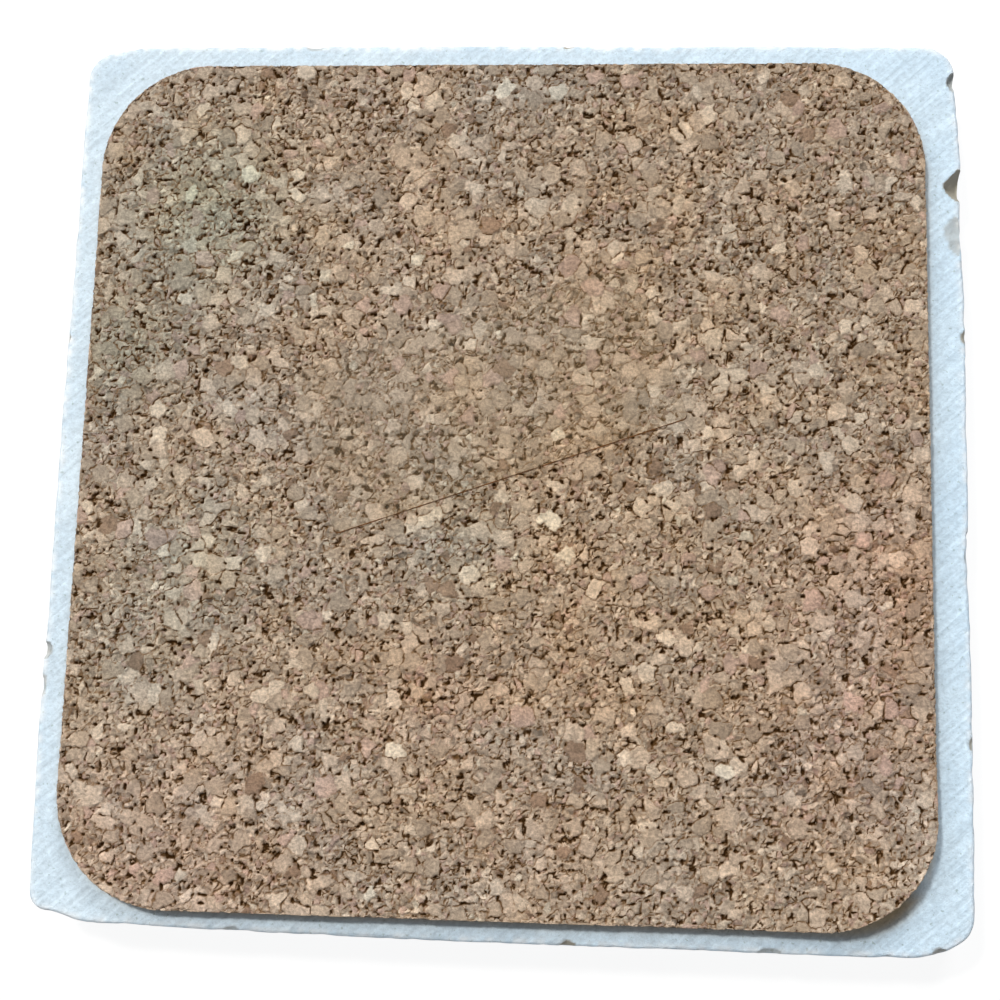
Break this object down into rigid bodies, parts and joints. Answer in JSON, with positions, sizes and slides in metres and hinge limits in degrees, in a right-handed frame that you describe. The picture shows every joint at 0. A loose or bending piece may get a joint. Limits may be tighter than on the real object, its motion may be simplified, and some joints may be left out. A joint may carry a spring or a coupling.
{
  "type": "drink coaster",
  "caption": "Square tumbled stone coaster with a bonded agglomerated cork pad, lying cork side up; a bare clear film is stuck askew on the cork.",
  "frame": {"origin": "middle of the tile's drinking face, on which the coaster lies upside down as pictured", "axes": "+Z comes out of the cork foot face, +X is right and +Y the far side in the picture; in use the coaster is turned over, with -Z up"},
  "size_m": [0.1016, 0.1016, 0.0116],
  "materials": {
    "marble": "tumbled, sawn back",
    "adhesive": "matte",
    "cork": "sanded agglomerated cork",
    "clear_film": "satin clear film"
  },
  "bodies": {
    "root": {"marble_tile": "marble", "adhesive_film": "adhesive", "cork_pad": "cork", "label_film": "clear_film"}
  },
  "joints": []
}
